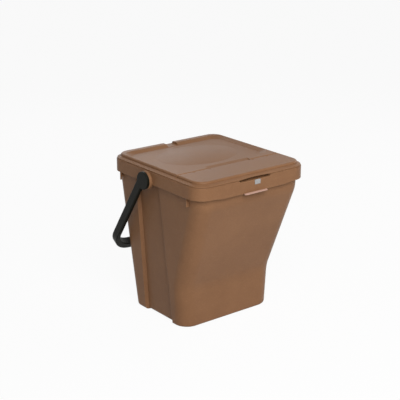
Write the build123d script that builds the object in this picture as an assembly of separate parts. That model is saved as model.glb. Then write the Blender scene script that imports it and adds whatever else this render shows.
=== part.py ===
from build123d import *
import os
from math import cos, hypot, radians, sin

os.makedirs("parts", exist_ok=True)

# Driving dimensions in millimetres.  The origin is on the floor under the middle of
# the rim band, +Z is up and the front of the bin faces -Y.

# Overlaps of the shapes that are cut and joined
over = 20.0
bite = 1.0

# Clearances
rest_gap = 0.3            # between two pieces that move against each other
turn_gap = 0.5            # round the flap's nose and beside its ears
pin_clearance = 0.06      # radial, a pin in the bore that turns on it
pin_seat = 0.02           # radial, a pin in the bore that holds it
insert_gap = 0.1          # round the front insert

# Rim band: a down-turned skirt round the top of the tub
band_width = 384.0
band_depth = 410.0
band_corner = 46.0
band_height = 38.5
tub_height = 442.0
skirt_thickness = 2.8
ledge_thickness = 3.0
band_edge_round = 1.2
side_rise = 3.7           # the skirt is that much shorter beside and behind than in front
side_rise_start = 108.0   # half width of its full-height front
side_rise_end = 144.0

# Tub walls
wall = 3.0
rim_inset = 9.0           # band face to wall face, at the rim
base_width = 318.0
base_front = 96.5
base_rear = 148.0
knee_drop = 64.0          # rim to where the front wall starts to run back
knee_setback = 1.4
knee_radius = 80.0
heel_height = 119.5       # and stands up again here
heel_overhang = 1.7
heel_radius = 100.0
front_corner = 43.5
rear_corner = 31.5
base_round = 8.0

# Shallow recess in each side wall, open at the floor
recess_depth = 10.0
recess_roof_rise = 7.5    # roof of the recess above the band's lower edge
recess_front_base = -42.5
recess_front_top = -13.0
recess_rear_base = 89.0
recess_rear_top = 95.0
recess_ramp_run = 15.0
recess_step_run = 4.0

# Front of the band: dip for the fingers, lip under it, seat of the small insert
slot_width = 112.0
slot_depth = 4.8
slot_end_run = 4.0
slot_arch = 3.0           # rise of the flap's edge over the dip
rib_half_width = 66.0     # rib under the flap that closes the view behind the dip
rib_thickness = 2.4
rib_drop = 7.0            # below the rim
rib_gap = 3.0             # to the tub's wall
lip_width = 78.0
lip_reach = 8.0
lip_thickness = 3.0
lip_overlap = 1.0
lip_corner = 4.0
lip_slope_rise = 2.0
lip_slope_run = 4.5
insert_width = 19.5
insert_height = 13.0
insert_thickness = 2.0
insert_seat_depth = 1.2
insert_drop = 5.6         # rim to the top of the insert
insert_x = 7.5            # a little right of the middle
insert_peg = 4.0
insert_corner = 1.5

# Nesting tabs under the band
tab_thickness = 3.0
tab_reach = 5.4
tab_front_y = -146.0
tab_front_drop = 22.0
tab_rear_y = 161.5
tab_rear_drop = 12.0
prong_width = 4.0
prong_drop = 20.5

# Bail pivot and bail
pivot_y = 26.5
pivot_drop = 26.0         # below the rim
boss_radius = 26.0
boss_reach = 8.0
boss_core_radius = 22.5
boss_face = 6.0
hub_radius = 12.0
stud_radius = 8.0
stud_slot = 3.0
barb_radius = 9.3
barb_length = 2.2
stop_track_inner = 14.0
stop_track_outer = 19.0
stop_track_depth = 3.0
stop_nub_angle = 12.0
stop_slack_angle = 2.0
stop_block_steps = 6
bail_range = 285.0        # swing from the rear rest, over the lid, to the front
bail_rest_angle = 33.9    # arm behind straight down, at rest
bail_reach = 310.5
bail_offset = 7.0         # middle of the arm behind the line through the pivot
bail_width = 25.0
bail_arm_gap = 4.0
bail_arm = 12.0
bail_grip = 22.0
bail_corner = 70.0
bail_edge_round = 3.0
disc_radius = 25.0
disc_edge_round = 1.5

# Lid and flap
flange_inset = 2.0
flange_edge = 3.0
flange_bevel_run = 8.0
flange_bevel_rise = 3.4
lid_rise = 13.7           # underside of the lid to its top
lid_wall_inset = 12.0
lid_corner = 34.0
lid_top_round = 5.0
lid_wall = 2.8
plate_drop = 7.0          # sunken plate below the lid's top
crest_half_width = 173.5
crest_rear = 173.5
crest_front = -69.0
pocket_corner = 30.0
plate_half_width = 159.5
plate_rear = 161.0
plate_front = -58.5
notch_width = 35.0
notch_drop = 6.0
dome_y = 49.0
dome_half_width = 127.0
dome_half_depth = 92.0
dome_height = 6.8
bevel_half_width = 74.0
bevel_start = -79.5
bevel_drop = 3.8

# Flap hinge
flap_axis_y = -100.3
nose_radius = 4.0
flap_room = 4.8           # axis to the lid's front edge
flap_edge_chamfer = 2.0
flap_pin_radius = 1.5
flap_pin_inner = 68.0
flap_pin_end_inset = 2.5
ear_inner = 72.5
ear_outer = 125.7
ear_width = 7.0
ear_web_rise = 1.0

# Lid hinge
lid_axis_behind = 6.0     # hinge axis behind the band
lid_axis_drop = 2.0       # and below the band's top
knuckle_radius = 5.5
lid_ear_inner = 70.0
lid_ear_width = 6.0
lid_lug_width = 18.0
lid_ear_foot = 20.0
lid_ear_taper = 1.5
lid_ear_nose = 6.0
lid_pin_radius = 2.5
lid_pin_head_radius = 4.0
lid_pin_head = 1.6
lid_pin_stub = 1.0

# Worked-out places
half_width = band_width / 2
half_depth = band_depth / 2
band_bottom = tub_height - band_height
knee_height = tub_height - knee_drop
recess_roof = band_bottom + recess_roof_rise
insert_top = tub_height - insert_drop
pivot_z = tub_height - pivot_drop
rim_half_width = half_width - rim_inset
rim_front = -(half_depth - rim_inset)
rim_rear = half_depth - rim_inset
skirt_inner_x = half_width - skirt_thickness
skirt_inner_y = half_depth - skirt_thickness
lid_bottom = tub_height + rest_gap
lid_top = lid_bottom + lid_rise
plate_level = lid_top - plate_drop
notch_level = lid_top - notch_drop
flap_axis_z = lid_top - nose_radius
lid_front = flap_axis_y + flap_room
lid_axis_y = half_depth + lid_axis_behind
lid_axis_z = tub_height - lid_axis_drop
cover_inner_y = half_depth - lid_wall_inset - lid_wall


def on_line(low, z_low, high, z_high, z):
    """The value at height z on the straight line through two points."""
    return low + (high - low) * (z - z_low) / (z_high - z_low)


def slab(x0, x1, y0, y1, z0, z1):
    """A box between two corners."""
    return Pos((x0 + x1) / 2, (y0 + y1) / 2, (z0 + z1) / 2) * Box(x1 - x0, y1 - y0, z1 - z0)


def rounded_slab(width, depth, corner, z0, z1):
    """An upright plate with rounded corners in plan, centred on the Z axis."""
    return extrude(Plane.XY.offset(z0) * RectangleRounded(width, depth, corner), amount=z1 - z0)


def rod_x(radius, x0, x1, y, z):
    """A round bar along X."""
    return Plane.YZ.offset(x0) * Pos(y, z, (x1 - x0) / 2) * Cylinder(radius, x1 - x0)


def across(points, x0, x1):
    """A prism along X over an outline in Y and Z."""
    return extrude(Plane.YZ.offset(x0) * make_face(Polyline(*points, close=True)), amount=x1 - x0)


def corner_at(sketch, x, y):
    """The corner of a flat outline that lies nearest to a point."""
    return sketch.vertices().sort_by_distance(Vector(x, y, 0))[0]


def both_sides(solid):
    """A solid and its mirror image on the other side of the bin."""
    return solid + mirror(solid, about=Plane.YZ)


# Tub

def side_view(top):
    """Outline of the tub from the side: the front wall runs back between knee and heel."""
    knee_y = rim_front + knee_setback
    heel_y = -(base_front + heel_overhang)
    front_top = on_line(knee_y, knee_height, rim_front, tub_height, top)
    rear_top = on_line(base_rear, 0, rim_rear, tub_height, top)
    points = [(front_top, top), (knee_y, knee_height), (heel_y, heel_height)]
    points += [(-base_front, 0), (base_rear, 0), (rear_top, top)]
    outline = make_face(Polyline(*points, close=True))
    outline = fillet(corner_at(outline, knee_y, knee_height), radius=knee_radius)
    return fillet(corner_at(outline, heel_y, heel_height), radius=heel_radius)


def front_view(top, narrowing):
    """Outline of the tub from the front: the sides lean out towards the rim."""
    low = base_width / 2 - narrowing
    high = on_line(base_width / 2, 0, rim_half_width, tub_height, top) - narrowing
    return make_face(Polyline((-low, 0), (low, 0), (high, top), (-high, top), close=True))


def tub_form(top, inset, narrowing):
    """The solid inside the tub's outer faces, with every face moved in by inset."""
    side = side_view(top)
    front = front_view(top, narrowing)
    if inset > 0:
        side = offset(side, amount=-inset, kind=Kind.INTERSECTION)
        front = offset(front, amount=-inset, kind=Kind.INTERSECTION)
    form = extrude(Plane.YZ * side, amount=band_width, both=True)
    form = form & extrude(Plane.XZ * front, amount=band_depth, both=True)
    for sign, radius in ((-1, front_corner - inset), (1, rear_corner - inset)):
        upright = [e for e in form.edges() if e.bounding_box().size.Z > bite and e.center().Y * sign > 0]
        form = fillet(upright, radius=radius)
    return fillet(form.faces().sort_by(Axis.Z)[0].edges(), radius=base_round - inset)


def recess_wedge(grow):
    """The space beside the tub between a recess's two creases, on the +X side."""
    ramp = recess_ramp_run / recess_depth
    step = recess_step_run / recess_depth
    shift_front = grow * hypot(1, ramp)
    shift_rear = grow * hypot(1, step)
    roof = recess_roof + grow
    layers = []
    for z in (-over, roof):
        out = on_line(base_width / 2, 0, rim_half_width, tub_height, z)
        front = on_line(recess_front_base, 0, recess_front_top, band_bottom, z) - shift_front
        rear = on_line(recess_rear_base, 0, recess_rear_top, band_bottom, z) + shift_rear
        x0 = out - recess_depth - over
        x1 = out + over
        corners = [(x1, front - ramp * over), (x0, front + ramp * (recess_depth + over))]
        corners += [(x0, rear - step * (recess_depth + over)), (x1, rear + step * over)]
        layers.append(Plane.XY.offset(z) * make_face(Polyline(*corners, close=True)))
    return loft(layers, ruled=True)


def recessed_form(top, inset):
    """The tub's form with a shallow recess in each side."""
    cutter = recess_wedge(inset) - tub_form(top, inset, recess_depth)
    return tub_form(top, inset, 0.0) - both_sides(cutter)


def band():
    """Down-turned skirt with its top ledge, filled under the finger dip."""
    ring = rounded_slab(band_width, band_depth, band_corner, band_bottom, tub_height)
    ring = fillet(ring.faces().sort_by(Axis.Z)[-1].edges(), radius=band_edge_round)
    roof = tub_height - ledge_thickness
    room = rounded_slab(2 * skirt_inner_x, 2 * skirt_inner_y, band_corner - skirt_thickness, 0, roof)
    fill_half = slot_width / 2 + ledge_thickness
    level = band_bottom + side_rise
    points = [(side_rise_start, band_bottom - over), (side_rise_start, band_bottom)]
    points += [(side_rise_end, level), (half_width + over, level), (half_width + over, band_bottom - over)]
    below = extrude(Plane.XZ * make_face(Polyline(*points, close=True)), amount=band_depth, both=True)
    ring -= both_sides(below)
    fill = slab(-fill_half, fill_half, -half_depth, rim_front + wall, roof - slot_depth, tub_height)
    return ring - (room - fill)


def finger_dip():
    """Cut in the top of the band, with sloped ends, reaching through to the inside."""
    top_half = slot_width / 2
    low_half = top_half - slot_end_run
    low = tub_height - slot_depth
    high = tub_height + over
    points = [(-low_half, low), (low_half, low), (top_half, tub_height), (top_half, high)]
    points += [(-top_half, high), (-top_half, tub_height)]
    face = make_face(Polyline(*points, close=True))
    reach = rim_inset + wall + bite
    return Pos(0, -half_depth + reach, 0) * extrude(Plane.XZ * face, amount=reach + over)


def finger_lip():
    """Small ledge that stands out under the middle of the band."""
    front = -half_depth - lip_reach
    z0 = band_bottom + lip_overlap - lip_thickness
    lip = slab(-lip_width / 2, lip_width / 2, front, -skirt_inner_y, z0, z0 + lip_thickness)
    outer = lip.edges().filter_by(Axis.Z).sort_by(Axis.Y)[:2]
    lip = fillet(outer, radius=lip_corner)
    z1 = z0 + lip_thickness
    slope = [(front, z1 - lip_slope_rise), (front + lip_slope_run, z1), (front + lip_slope_run, z1 + bite)]
    slope += [(front - bite, z1 + bite), (front - bite, z1 - lip_slope_rise)]
    return lip - across(slope, -lip_width, lip_width)


def nesting_tabs():
    """Thin ribs between wall and skirt that hang below the band, on the +X side."""
    root = rim_half_width - wall
    outer = rim_half_width + tab_reach
    top = tub_height - bite
    y0 = tab_front_y - tab_thickness / 2
    y1 = tab_rear_y - tab_thickness / 2
    front = slab(root, outer, y0, y0 + tab_thickness, band_bottom - tab_front_drop, top)
    rear = slab(root, outer, y1, y1 + tab_thickness, band_bottom - tab_rear_drop, top)
    prong = slab(outer - prong_width, outer, y1, y1 + tab_thickness, band_bottom - prong_drop, top)
    return front + rear + prong


def stop_track(x0, x1):
    """Ring-shaped track of the bail's stop nub, closed by a block between its two ends."""
    ring = rod_x(stop_track_outer, x0, x1, pivot_y, pivot_z)
    ring -= rod_x(stop_track_inner, x0, x1, pivot_y, pivot_z)
    reach = 2 * stop_track_outer
    block_angle = 360.0 - bail_range - stop_nub_angle - 2 * stop_slack_angle
    start = nub_direction() - stop_nub_angle / 2 - stop_slack_angle - block_angle
    points = [(pivot_y, pivot_z)]
    for k in range(stop_block_steps + 1):
        turn = radians(start + block_angle * k / stop_block_steps)
        points.append((pivot_y + reach * cos(turn), pivot_z + reach * sin(turn)))
    return ring - across(points, x0, x1)


def nub_direction():
    """Direction of the stop nub at rest, in degrees from +Y towards +Z."""
    return bail_rest_angle + 90.0


def pivot_boss():
    """Round boss on the band with the bore of the bail's stud, on the +X side."""
    face = half_width + boss_reach
    boss = rod_x(boss_radius, skirt_inner_x, face, pivot_y, pivot_z)
    boss = fillet(boss.edges().sort_by(Axis.X)[-1], radius=band_edge_round)
    inside = skirt_inner_x - bite
    core = rod_x(boss_core_radius, inside, face - boss_face, pivot_y, pivot_z)
    core -= rod_x(hub_radius, inside, face - boss_face, pivot_y, pivot_z)
    bore = rod_x(stud_radius + pin_clearance, inside, face + bite, pivot_y, pivot_z)
    track = stop_track(face - stop_track_depth, face + bite)
    return boss, core + bore + track


def lid_ears():
    """Pair of ears behind the band for one lid pin, on the +X side, with their bore."""
    top = lid_axis_z
    outer = lid_axis_y + knuckle_radius
    root = skirt_inner_y + bite
    shape = [(root, tub_height - bite), (half_depth + rest_gap, top), (outer, top)]
    shape += [(outer - lid_ear_taper, top - lid_ear_nose), (root, tub_height - lid_ear_foot)]
    ears = None
    for x0 in (lid_ear_inner, lid_ear_inner + lid_ear_width + lid_lug_width):
        ear = across(shape, x0, x0 + lid_ear_width)
        ear += rod_x(knuckle_radius, x0, x0 + lid_ear_width, lid_axis_y, lid_axis_z)
        ears = ear if ears is None else ears + ear
    x1 = lid_ear_inner + 2 * lid_ear_width + lid_lug_width
    bore = rod_x(lid_pin_radius + pin_seat, lid_ear_inner - bite, x1 + bite, lid_axis_y, lid_axis_z)
    return ears - bore


def insert_seat():
    """Seat of the front insert in the skirt, with the hole for its peg."""
    front = -half_depth - bite
    z0 = insert_top - insert_height - insert_gap
    seat = slab(-insert_width / 2 - insert_gap, insert_width / 2 + insert_gap,
                front, -half_depth + insert_seat_depth, z0, insert_top + insert_gap)
    middle = insert_top - insert_height / 2
    half = insert_peg / 2 + insert_gap
    hole = slab(-half, half, front, -skirt_inner_y + bite, middle - half, middle + half)
    return Pos(insert_x, 0, 0) * (seat + hole)


def tub():
    """The bin itself, one moulding."""
    boss, boss_cuts = pivot_boss()
    body = band() + recessed_form(tub_height, 0.0) + finger_lip()
    body += both_sides(nesting_tabs()) + both_sides(boss)
    body -= both_sides(boss_cuts)
    body -= recessed_form(tub_height + over, wall)
    body -= finger_dip() + insert_seat()
    body += both_sides(lid_ears())
    return body


# Front insert

def front_insert():
    """Small pale plate in the band's front, with a square peg behind it."""
    back = -half_depth + insert_seat_depth
    plate = slab(-insert_width / 2, insert_width / 2, back - insert_thickness, back,
                 insert_top - insert_height, insert_top)
    plate = fillet(plate.edges().filter_by(Axis.Y), radius=insert_corner)
    middle = insert_top - insert_height / 2
    half = insert_peg / 2
    peg = slab(-half, half, back, -skirt_inner_y + bite, middle - half, middle + half)
    return Pos(insert_x, 0, 0) * (plate + peg)


# Lid panel and front flap

def cover_form():
    """The closed lid and flap as one solid: a bevelled flange under a raised plateau."""
    width = band_width - 2 * flange_inset
    depth = band_depth - 2 * flange_inset
    corner = band_corner - flange_inset
    edge_top = lid_bottom + flange_edge
    bevel_top = edge_top + flange_bevel_rise
    form = rounded_slab(width, depth, corner, lid_bottom, edge_top)
    low = Plane.XY.offset(edge_top) * RectangleRounded(width, depth, corner)
    run = flange_bevel_run
    high = Plane.XY.offset(bevel_top) * RectangleRounded(width - 2 * run, depth - 2 * run, corner - run)
    form += loft([low, high], ruled=True)
    raised = rounded_slab(band_width - 2 * lid_wall_inset, band_depth - 2 * lid_wall_inset,
                          lid_corner, lid_bottom, lid_top)
    raised = fillet(raised.faces().sort_by(Axis.Z)[-1].edges(), radius=lid_top_round)
    return form + raised


def pocket(drop, grow):
    """The sunken part of the lid, with sloped sides; drop and grow move its faces out."""
    rise = lid_top - plate_level
    layers = []
    for z, share in ((plate_level, 0.0), (lid_top + rise, 2.0)):
        x = on_line(plate_half_width, 0, crest_half_width, 1, share) + grow
        front = on_line(plate_front, 0, crest_front, 1, share) - grow
        rear = on_line(plate_rear, 0, crest_rear, 1, share) + grow
        outline = Pos(0, (front + rear) / 2) * RectangleRounded(2 * x, rear - front, pocket_corner)
        layers.append(Plane.XY.offset(z - drop) * outline)
    return loft(layers, ruled=True)


def dome(drop):
    """Low oval dome on the sunken plate."""
    radius = (dome_half_depth ** 2 + dome_height ** 2) / (2 * dome_height)
    centre_z = plate_level + dome_height - radius
    ball = Pos(0, dome_y, centre_z) * Sphere(radius)
    keep = slab(-radius, radius, -radius, radius, plate_level, plate_level + dome_height + bite)
    stretch = dome_half_width / dome_half_depth
    return Pos(0, 0, -drop) * scale(ball & keep, by=(stretch, 1, 1))


def rear_notch(drop, grow):
    """Gap in the middle of the raised rim's rear."""
    half = notch_width / 2 + grow
    return slab(-half, half, plate_rear - bite - grow, half_depth, notch_level - drop, lid_top + over)


def front_bevel(drop):
    """Slope in the middle of the lid's front edge, down to the flap's seam."""
    y1 = lid_front - over
    z1 = lid_top - bevel_drop * (bevel_start - y1) / (bevel_start - lid_front)
    points = [(bevel_start, lid_top - drop), (y1, z1 - drop), (y1, lid_top + over)]
    points += [(bevel_start, lid_top + over)]
    return across(points, -bevel_half_width, bevel_half_width)


def cover_room():
    """Space inside the plateau of lid and flap, one lid wall inside its faces."""
    inner_x = half_width - lid_wall_inset - lid_wall
    corner = lid_corner - lid_wall
    return rounded_slab(2 * inner_x, 2 * cover_inner_y, corner, lid_bottom - bite, lid_top - lid_wall)


def lid_room():
    """Space under the lid panel, one lid wall inside its faces."""
    room = cover_room() & slab(-half_width, half_width, lid_front + lid_wall, half_depth, 0, lid_top)
    room -= pocket(lid_wall, lid_wall / 2) + rear_notch(lid_wall, lid_wall)
    room -= front_bevel(lid_wall)
    return room + dome(lid_wall)


def ear_places():
    """The near end of each of the lid's two ears on the +X side."""
    return (ear_inner, ear_outer)


def flap_ears():
    """Ears at the lid's front edge that hold one flap pin, on the +X side."""
    ears = None
    for x0 in ear_places():
        ear = rod_x(nose_radius, x0, x0 + ear_width, flap_axis_y, flap_axis_z)
        ear += slab(x0, x0 + ear_width, flap_axis_y, lid_front + lid_wall,
                    flap_axis_z - nose_radius - turn_gap, flap_axis_z + ear_web_rise)
        ears = ear if ears is None else ears + ear
    return ears - rod_x(flap_pin_radius + pin_clearance, 0, half_width, flap_axis_y, flap_axis_z)


def lid_lug():
    """Lug behind the lid that turns on one lid pin, on the +X side."""
    x0 = lid_ear_inner + lid_ear_width + rest_gap
    x1 = lid_ear_inner + lid_ear_width + lid_lug_width - rest_gap
    top = lid_axis_z + knuckle_radius
    lug = slab(x0, x1, cover_inner_y, lid_axis_y, lid_bottom, top)
    lug += rod_x(knuckle_radius, x0, x1, lid_axis_y, lid_axis_z)
    return lug - rod_x(lid_pin_radius + pin_clearance, x0 - bite, x1 + bite, lid_axis_y, lid_axis_z)


def lid_panel():
    """Rear three quarters of the lid."""
    low_front = flap_axis_y + turn_gap
    nose_floor = flap_axis_z - nose_radius - turn_gap
    above = lid_top + bite
    body = cover_form() & slab(-half_width, half_width, low_front, half_depth, 0, above)
    edge = flap_edge_chamfer
    room = [(low_front - bite, nose_floor), (lid_front, nose_floor), (lid_front, lid_top - edge)]
    room += [(lid_front + edge, lid_top), (lid_front + edge, above), (low_front - bite, above)]
    body -= across(room, -half_width, half_width)
    body -= pocket(0, 0) + rear_notch(0, 0) + front_bevel(0)
    body += dome(0)
    body -= lid_room()
    body += both_sides(flap_ears()) + both_sides(lid_lug())
    return body


def front_flap():
    """Front quarter of the lid, with a rounded nose along its hinge."""
    above = lid_top + bite
    body = cover_form() & slab(-half_width, half_width, -half_depth, flap_axis_y, 0, above)
    body -= cover_room()
    nose_end = half_width - lid_wall_inset - bite
    nose = rod_x(nose_radius, -nose_end, nose_end, flap_axis_y, flap_axis_z)
    nose += slab(-nose_end, nose_end, flap_axis_y - nose_radius, flap_axis_y,
                 flap_axis_z - nose_radius, lid_top - bite)
    body += nose & cover_form()
    notch_reach = nose_radius + bite
    for x0 in ear_places():
        notch = slab(x0 - turn_gap, x0 + ear_width + turn_gap, flap_axis_y - notch_reach,
                     flap_axis_y + notch_reach, 0, above)
        body -= both_sides(notch)
    bore = rod_x(flap_pin_radius + pin_seat, flap_pin_inner - bite, half_width, flap_axis_y, flap_axis_z)
    body -= both_sides(bore)
    radius = ((slot_width / 2) ** 2 + slot_arch ** 2) / (2 * slot_arch)
    arch_plane = Plane.XZ.offset(cover_inner_y - bite)
    arch = extrude(arch_plane * Pos(0, lid_bottom + slot_arch - radius) * Circle(radius), amount=over)
    rib_face = rim_front + wall + rib_gap
    rib = slab(-rib_half_width, rib_half_width, rib_face, rib_face + rib_thickness,
               tub_height - rib_drop, lid_top - lid_wall + bite)
    return body - arch + rib


# Pins

def flap_pin(sign):
    """Hinge pin of the flap, pushed in from the flap's side."""
    end = half_width - lid_wall_inset - flap_pin_end_inset
    pin = rod_x(flap_pin_radius, flap_pin_inner, end, flap_axis_y, flap_axis_z)
    return pin if sign > 0 else mirror(pin, about=Plane.YZ)


def lid_pin(sign):
    """Hinge pin of the lid, with a flat head on its outer end."""
    x1 = lid_ear_inner + 2 * lid_ear_width + lid_lug_width
    pin = rod_x(lid_pin_radius, lid_ear_inner - lid_pin_stub, x1, lid_axis_y, lid_axis_z)
    pin += rod_x(lid_pin_head_radius, x1, x1 + lid_pin_head, lid_axis_y, lid_axis_z)
    return pin if sign > 0 else mirror(pin, about=Plane.YZ)


# Bail

def bail_handle():
    """One-piece bail: two flat arms with round heads, joined by a straight grip."""
    turn = radians(bail_rest_angle)
    plane = Plane(origin=(0, pivot_y, pivot_z), x_dir=(1, 0, 0), z_dir=(0, cos(turn), sin(turn)))
    arm_inner = half_width + bail_arm_gap
    arm_outer = arm_inner + bail_arm
    grip_inner = bail_reach - bail_grip
    outer = make_face(Polyline((-arm_outer, 0), (arm_outer, 0), (arm_outer, bail_reach),
                               (-arm_outer, bail_reach), close=True))
    outer = fillet([corner_at(outer, s * arm_outer, bail_reach) for s in (-1, 1)], radius=bail_corner)
    inner = make_face(Polyline((-arm_inner, -over), (arm_inner, -over), (arm_inner, grip_inner),
                               (-arm_inner, grip_inner), close=True))
    inner_corner = bail_corner - bail_arm
    inner = fillet([corner_at(inner, s * arm_inner, grip_inner) for s in (-1, 1)], radius=inner_corner)
    low = bail_offset - bail_width / 2
    frame = extrude(plane.offset(low) * (outer - inner), amount=bail_width)
    long_edges = []
    for edge in frame.edges():
        middle = plane.to_local_coords(edge.center())
        if abs(middle.Z - bail_offset) > bite and middle.Y > bite:
            long_edges.append(edge)
    frame = fillet(long_edges, radius=bail_edge_round)
    face = half_width + boss_reach + rest_gap
    relief = boss_radius + 2 * rest_gap
    head = rod_x(disc_radius, face, arm_outer, pivot_y, pivot_z)
    head = fillet(head.edges().sort_by(Axis.X)[-1], radius=disc_edge_round)
    stud_end = skirt_inner_x - rest_gap - barb_length
    stud = rod_x(stud_radius, stud_end, face, pivot_y, pivot_z)
    stud += rod_x(barb_radius, stud_end, stud_end + barb_length, pivot_y, pivot_z)
    slot = slab(stud_end - bite, half_width, pivot_y - stud_slot / 2, pivot_y + stud_slot / 2,
                pivot_z - 2 * barb_radius, pivot_z + 2 * barb_radius)
    clear = rod_x(relief, arm_inner - bite, face, pivot_y, pivot_z)
    frame -= both_sides(clear)
    return frame + both_sides(head + (stud - slot) + stop_nub(face))


def stop_nub(face):
    """Nub on the disc's inner face that runs in the boss's track."""
    inner = stop_track_inner + rest_gap
    outer = stop_track_outer - rest_gap
    x0 = half_width + boss_reach - stop_track_depth + rest_gap
    x1 = face + bite
    ring = rod_x(outer, x0, x1, pivot_y, pivot_z) - rod_x(inner, x0, x1, pivot_y, pivot_z)
    reach = 2 * outer
    points = [(pivot_y, pivot_z)]
    for part in (-0.5, 0.5):
        turn = radians(nub_direction() + part * stop_nub_angle)
        points.append((pivot_y + reach * cos(turn), pivot_z + reach * sin(turn)))
    return ring & across(points, x0, x1)


pieces = {
    "tub": tub,
    "front_insert": front_insert,
    "lid_panel": lid_panel,
    "front_flap": front_flap,
    "bail_handle": bail_handle,
    "flap_hinge_pin_left": lambda: flap_pin(-1),
    "flap_hinge_pin_right": lambda: flap_pin(1),
    "lid_hinge_pin_left": lambda: lid_pin(-1),
    "lid_hinge_pin_right": lambda: lid_pin(1),
}

for name, make in pieces.items():
    export_step(make(), f"parts/{name}.step")
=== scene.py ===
import math

import bpy
from mathutils import Matrix, Vector

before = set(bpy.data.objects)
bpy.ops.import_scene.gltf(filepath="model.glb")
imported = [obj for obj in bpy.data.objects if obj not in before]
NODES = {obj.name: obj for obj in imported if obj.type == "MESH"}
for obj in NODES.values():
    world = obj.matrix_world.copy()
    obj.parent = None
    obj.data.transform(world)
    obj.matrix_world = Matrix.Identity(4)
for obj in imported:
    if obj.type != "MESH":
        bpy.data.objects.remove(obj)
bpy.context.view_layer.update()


# Shader sockets as values that can be added, multiplied and compared

class Value:
    """A socket of one material's node tree, with arithmetic that adds Math nodes."""

    def __init__(self, tree, socket):
        self.tree = tree
        self.socket = socket

    def _math(self, operation, *terms):
        return self.tree.add("ShaderNodeMath", {"operation": operation}, dict(enumerate(terms)))["Value"]

    def __add__(self, other):
        return self._math("ADD", self, other)

    def __radd__(self, other):
        return self._math("ADD", other, self)

    def __sub__(self, other):
        return self._math("SUBTRACT", self, other)

    def __rsub__(self, other):
        return self._math("SUBTRACT", other, self)

    def __mul__(self, other):
        return self._math("MULTIPLY", self, other)

    def __rmul__(self, other):
        return self._math("MULTIPLY", other, self)

    def __gt__(self, other):
        return self._math("GREATER_THAN", self, other)

    def __lt__(self, other):
        return self._math("LESS_THAN", self, other)

    def most(self, other):
        """The larger of two values."""
        return self._math("MAXIMUM", self, other)

    def smooth(self, low, high):
        """0 below low, 1 above high, with a soft ramp between them."""
        return self.tree.add("ShaderNodeMapRange", {"interpolation_type": "SMOOTHSTEP"},
                             {"Value": self, "From Min": low, "From Max": high})["Result"]


class Tree:
    """The node tree of one material, or of the world."""

    def __init__(self, name, owner=None):
        self.material = owner or bpy.data.materials.new(name)
        self.material.use_nodes = True
        self.nodes = self.material.node_tree.nodes
        self.links = self.material.node_tree.links
        self.nodes.clear()

    def put(self, socket, value):
        """Links a value to a socket, or sets the socket to a number, vector or colour."""
        if isinstance(value, Value):
            self.links.new(value.socket, socket)
        else:
            socket.default_value = value

    def add(self, kind, settings, inputs):
        """Adds a node and returns its outputs by name, each wrapped as a Value."""
        node = self.nodes.new(kind)
        for key, setting in settings.items():
            setattr(node, key, setting)
        for key, value in inputs.items():
            self.put(node.inputs[key], value)
        return {out.name: Value(self, out) for out in node.outputs if out.enabled}

    def place(self):
        """The point on the object's own surface, in metres."""
        return self.add("ShaderNodeTexCoord", {}, {})["Object"]

    def noise(self, at, scale, detail, roughness):
        """Noise from 0 to 1 at a point."""
        out = self.add("ShaderNodeTexNoise", {"noise_dimensions": "3D"},
                       {"Vector": at, "Scale": scale, "Detail": detail, "Roughness": roughness})
        return out["Fac"]

    def mix(self, share, first, second):
        """Mixes two colours."""
        node = self.nodes.new("ShaderNodeMix")
        node.data_type = "RGBA"
        self.put(node.inputs[0], share)
        self.put(node.inputs[6], first)
        self.put(node.inputs[7], second)
        return Value(self, node.outputs[2])

    def dot(self, first, second):
        """Dot product of two vectors."""
        terms = {0: first, 1: second}
        return self.add("ShaderNodeVectorMath", {"operation": "DOT_PRODUCT"}, terms)["Value"]

    def bump(self, height, strength, distance, normal):
        """A surface normal disturbed by a height."""
        return self.add("ShaderNodeBump", {}, {"Height": height, "Strength": strength,
                                               "Distance": distance, "Normal": normal})["Normal"]

    def finish(self, constants, varying):
        """Closes the tree with one surface shader."""
        shader = self.add("ShaderNodeBsdfPrincipled", {}, {**constants, **varying})["BSDF"]
        self.add("ShaderNodeOutputMaterial", {}, {"Surface": shader})
        return self.material


def colour(red, green, blue):
    """A colour given by its linear values."""
    return (red, green, blue, 1.0)


# Finishes

PLASTIC_IOR = 1.49
EDGE_SAMPLES = 6

# Scale per metre, detail and roughness of the noises, from broad to fine
CLOUD = (7.0, 4.0, 0.55)
FLOW = (34.0, 3.0, 0.6)
SPECK = (300.0, 2.0, 0.7)
GRAIN = (900.0, 2.0, 0.6)

# Shares of the flow marks, the dark and pale specks and the lightening along edges in the colour; the
# edge lightening is partly worn plastic and partly a painted highlight on the ridges
FLOW_SHARE = 0.3
DARK_SPECKS = 0.45
PALE_SPECKS = 0.16
EDGE_WEAR_AND_SHEEN = 0.42

# Swing of the roughness with the clouds, the flow marks and the edges
CLOUD_ROUGH = 0.08
FLOW_ROUGH = 0.06
EDGE_ROUGH = 0.05

SPECK_HEIGHT = 0.4
BUMP_STRENGTH = 0.35

# The small lip under the middle of the band's front, in metres, and how strongly a painted highlight is
# put on its ledge
LIP_HALF_WIDTH = 0.0395
LIP_FACE = -0.2056
LIP_BOTTOM = 0.4018
LIP_TOP = 0.4052
LIP_HIGHLIGHT_SHARE = 0.75


def lip_painted_highlight(tree, at):
    """Share of painted highlight on the small lip under the middle of the band's front."""
    place = tree.add("ShaderNodeSeparateXYZ", {}, {"Vector": at})
    across = (place["X"] > -LIP_HALF_WIDTH) * (place["X"] < LIP_HALF_WIDTH)
    forward = place["Y"] < LIP_FACE
    level = (place["Z"] > LIP_BOTTOM) * (place["Z"] < LIP_TOP)
    return LIP_HIGHLIGHT_SHARE * across * forward * level


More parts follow.
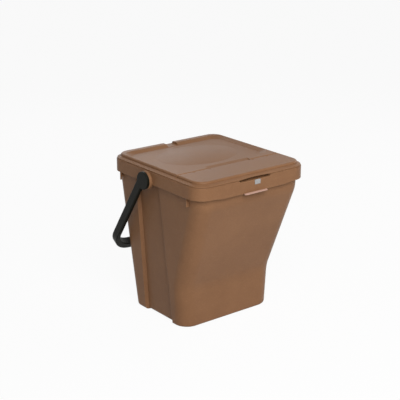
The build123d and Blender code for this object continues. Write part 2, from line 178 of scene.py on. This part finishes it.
def moulded(name, light, dark, edge_wear_and_sheen, rough, shine, grain_depth, edge_round,
            patch=None, patch_shade=None):
    """Satin moulded plastic with a fine spark grain, faint flow marks and edges lightened in colour,
    partly as worn plastic and partly as a painted highlight.
    """
    tree = Tree(name)
    at = tree.place()
    cloud = tree.noise(at, *CLOUD)
    flow = tree.noise(at, *FLOW)
    speck = tree.noise(at, *SPECK)
    grain = tree.noise(at, *GRAIN)
    soft = tree.add("ShaderNodeBevel", {"samples": EDGE_SAMPLES}, {"Radius": edge_round})["Normal"]
    face = tree.add("ShaderNodeNewGeometry", {}, {})["Normal"]
    edge = (1.0 - tree.dot(soft, face)).smooth(0.005, 0.15)
    marks = (1.0 - FLOW_SHARE) * cloud.smooth(0.3, 0.7) + FLOW_SHARE * flow.smooth(0.3, 0.7)
    shade = tree.mix(marks, dark, light)
    shade = tree.mix(DARK_SPECKS * (1.0 - speck.smooth(0.25, 0.5)), shade, dark)
    # Edges are lightened partly as worn plastic and partly as a painted highlight on the ridges; the
    # pale specks are grain.
    edge_wear_sheen_and_specks = EDGE_WEAR_AND_SHEEN * edge * (0.6 + 0.8 * flow) + PALE_SPECKS * speck.smooth(0.5, 0.75)
    shade = tree.mix(edge_wear_sheen_and_specks, shade, edge_wear_and_sheen)
    # A patch, here the painted highlight on the lip, is mixed in last.
    if patch:
        shade = tree.mix(patch(tree, at), shade, patch_shade)
    roughness = rough + CLOUD_ROUGH * (cloud - 0.5) + FLOW_ROUGH * (flow - 0.5) + EDGE_ROUGH * edge
    normal = tree.bump(grain + SPECK_HEIGHT * speck, BUMP_STRENGTH, grain_depth, soft)
    return tree.finish({"IOR": PLASTIC_IOR, "Specular IOR Level": shine},
                       {"Base Color": shade, "Roughness": roughness, "Normal": normal})


# The third colour of each finish lightens its edges, partly as worn plastic and partly as a painted
# highlight on the ridges.
BROWN_LIGHT = colour(0.268, 0.133, 0.064)
BROWN_DARK = colour(0.232, 0.113, 0.054)
BROWN_EDGE_WEAR_SHEEN = colour(0.40, 0.235, 0.125)
# A pale painted highlight on the lip's ledge under the band's front.
LIP_HIGHLIGHT = colour(0.62, 0.40, 0.33)
BLACK_LIGHT = colour(0.010, 0.010, 0.006)
BLACK_DARK = colour(0.006, 0.006, 0.004)
BLACK_EDGE_WEAR_SHEEN = colour(0.025, 0.024, 0.018)
PALE_LIGHT = colour(0.375, 0.37, 0.365)
PALE_DARK = colour(0.32, 0.315, 0.315)
PALE_EDGE_WEAR_SHEEN = colour(0.45, 0.45, 0.45)
PIN_LIGHT = colour(0.13, 0.055, 0.022)
PIN_DARK = colour(0.10, 0.042, 0.016)
PIN_EDGE_WEAR_SHEEN = colour(0.18, 0.085, 0.035)

# Depth in metres of the spark grain on the large mouldings and on the small smooth pieces
SPARK = 0.0004
SMOOTH = 0.0002

tub_brown = moulded("tub_brown", BROWN_LIGHT, BROWN_DARK, BROWN_EDGE_WEAR_SHEEN, rough=0.44, shine=0.15,
                    grain_depth=SPARK, edge_round=0.0015, patch=lip_painted_highlight, patch_shade=LIP_HIGHLIGHT)
lid_brown = moulded("lid_brown", BROWN_LIGHT, BROWN_DARK, BROWN_EDGE_WEAR_SHEEN, rough=0.40, shine=0.13,
                    grain_depth=SPARK, edge_round=0.0012)
black = moulded("black_moulded", BLACK_LIGHT, BLACK_DARK, BLACK_EDGE_WEAR_SHEEN, rough=0.45, shine=0.09,
                grain_depth=SPARK, edge_round=0.0010)
pale = moulded("pale_moulded", PALE_LIGHT, PALE_DARK, PALE_EDGE_WEAR_SHEEN, rough=0.30, shine=0.4,
               grain_depth=SMOOTH, edge_round=0.0004)
pin = moulded("pin_moulded", PIN_LIGHT, PIN_DARK, PIN_EDGE_WEAR_SHEEN, rough=0.38, shine=0.20,
              grain_depth=SMOOTH, edge_round=0.0004)

FINISH = {
    "tub": tub_brown,
    "lid_panel": lid_brown,
    "front_flap": lid_brown,
    "front_insert": pale,
    "bail_handle": black,
    "flap_hinge_pin_left": pin,
    "flap_hinge_pin_right": pin,
    "lid_hinge_pin_left": pin,
    "lid_hinge_pin_right": pin,
}

for node_name, finish in FINISH.items():
    mesh = NODES[node_name].data
    mesh.materials.clear()
    mesh.materials.append(finish)


# Floor, light and camera

WHITE = colour(1.0, 1.0, 1.0)
AIM = Vector((0.0, 0.0, 0.22))
FLOOR_HALF = 8.0
FLOOR_PAINT = colour(0.88, 0.88, 0.88)
FLOOR_GLOW = 0.94
SKY_LEVEL = 0.08
LAMP_DISTANCE = 2.6

# Name, azimuth and elevation in degrees, size in metres and power in watts of each soft box
LAMPS = (
    ("key_box", -21.0, 38.0, 1.7, 60.0),
    ("right_box", 90.0, 30.0, 1.3, 12.0),
    ("back_box", 160.0, 32.0, 1.3, 7.0),
)

# The camera's lens in millimetres, its place in metres, and its right and up directions,
# as fitted to the photograph
LENS = 93.33
SENSOR = 36.0
CLIP_NEAR = 0.1
CLIP_FAR = 50.0
EYE = Vector((-1.74138, -2.19855, 1.25139))
EYE_RIGHT = Vector((0.788753, -0.614711, 0.0))
EYE_UP = Vector((0.192666, 0.247215, 0.949613))


def seen_directly(tree):
    """1 where a surface is seen by the camera, in a reflection or through glass."""
    ray = tree.add("ShaderNodeLightPath", {}, {})
    return ray["Is Camera Ray"].most(ray["Is Glossy Ray"]).most(ray["Is Transmission Ray"])


def floor():
    """White ground that shows as the backdrop's white and keeps a faint shadow of the bin."""
    mesh = bpy.data.meshes.new("studio_floor")
    far = FLOOR_HALF
    corners = [(-far, -far, 0), (far, -far, 0), (far, far, 0), (-far, far, 0)]
    mesh.from_pydata(corners, [], [(0, 1, 2, 3)])
    ground = bpy.data.objects.new("studio_floor", mesh)
    bpy.context.scene.collection.objects.link(ground)
    tree = Tree("studio_floor")
    paint = tree.add("ShaderNodeBsdfDiffuse", {}, {"Color": FLOOR_PAINT})["BSDF"]
    glow = tree.add("ShaderNodeEmission", {}, {"Color": WHITE, "Strength": 1.0})["Emission"]
    share = FLOOR_GLOW * seen_directly(tree)
    both = tree.add("ShaderNodeMixShader", {}, {0: share, 1: paint, 2: glow})["Shader"]
    tree.add("ShaderNodeOutputMaterial", {}, {"Surface": both})
    mesh.materials.append(tree.material)


def surroundings():
    """Even soft light, with a white backdrop where it is seen or mirrored."""
    world = bpy.data.worlds.new("studio")
    bpy.context.scene.world = world
    tree = Tree("studio", world)
    soft = tree.add("ShaderNodeBackground", {}, {"Color": WHITE, "Strength": SKY_LEVEL})["Background"]
    white = tree.add("ShaderNodeBackground", {}, {"Color": WHITE, "Strength": 1.0})["Background"]
    both = tree.add("ShaderNodeMixShader", {}, {0: seen_directly(tree), 1: soft, 2: white})["Shader"]
    tree.add("ShaderNodeOutputWorld", {}, {"Surface": both})


def direction(azimuth, elevation):
    """Unit vector towards an azimuth and elevation, both in degrees; azimuth 0 is the front."""
    a = math.radians(azimuth)
    e = math.radians(elevation)
    return Vector((math.sin(a) * math.cos(e), -math.cos(a) * math.cos(e), math.sin(e)))


def lamp(name, azimuth, elevation, size, power):
    """A square soft box, given by the direction from which it lights the bin."""
    light = bpy.data.lights.new(name, "AREA")
    light.shape = "SQUARE"
    light.size = size
    light.energy = power
    lit = bpy.data.objects.new(name, light)
    bpy.context.scene.collection.objects.link(lit)
    back = direction(azimuth, elevation)
    lit.location = AIM + back * LAMP_DISTANCE
    lit.rotation_mode = "QUATERNION"
    lit.rotation_quaternion = (-back).to_track_quat("-Z", "Y")


def camera():
    """The camera at the photograph's angle, for a square frame."""
    lens = bpy.data.cameras.new("camera")
    lens.lens = LENS
    lens.sensor_width = SENSOR
    lens.clip_start = CLIP_NEAR
    lens.clip_end = CLIP_FAR
    eye = bpy.data.objects.new("camera", lens)
    bpy.context.scene.collection.objects.link(eye)
    turn = Matrix((EYE_RIGHT, EYE_UP, EYE_RIGHT.cross(EYE_UP))).transposed().to_4x4()
    eye.matrix_world = Matrix.Translation(EYE) @ turn
    bpy.context.scene.camera = eye


floor()
surroundings()
for settings in LAMPS:
    lamp(*settings)
camera()
bpy.context.scene.view_settings.view_transform = "Standard"
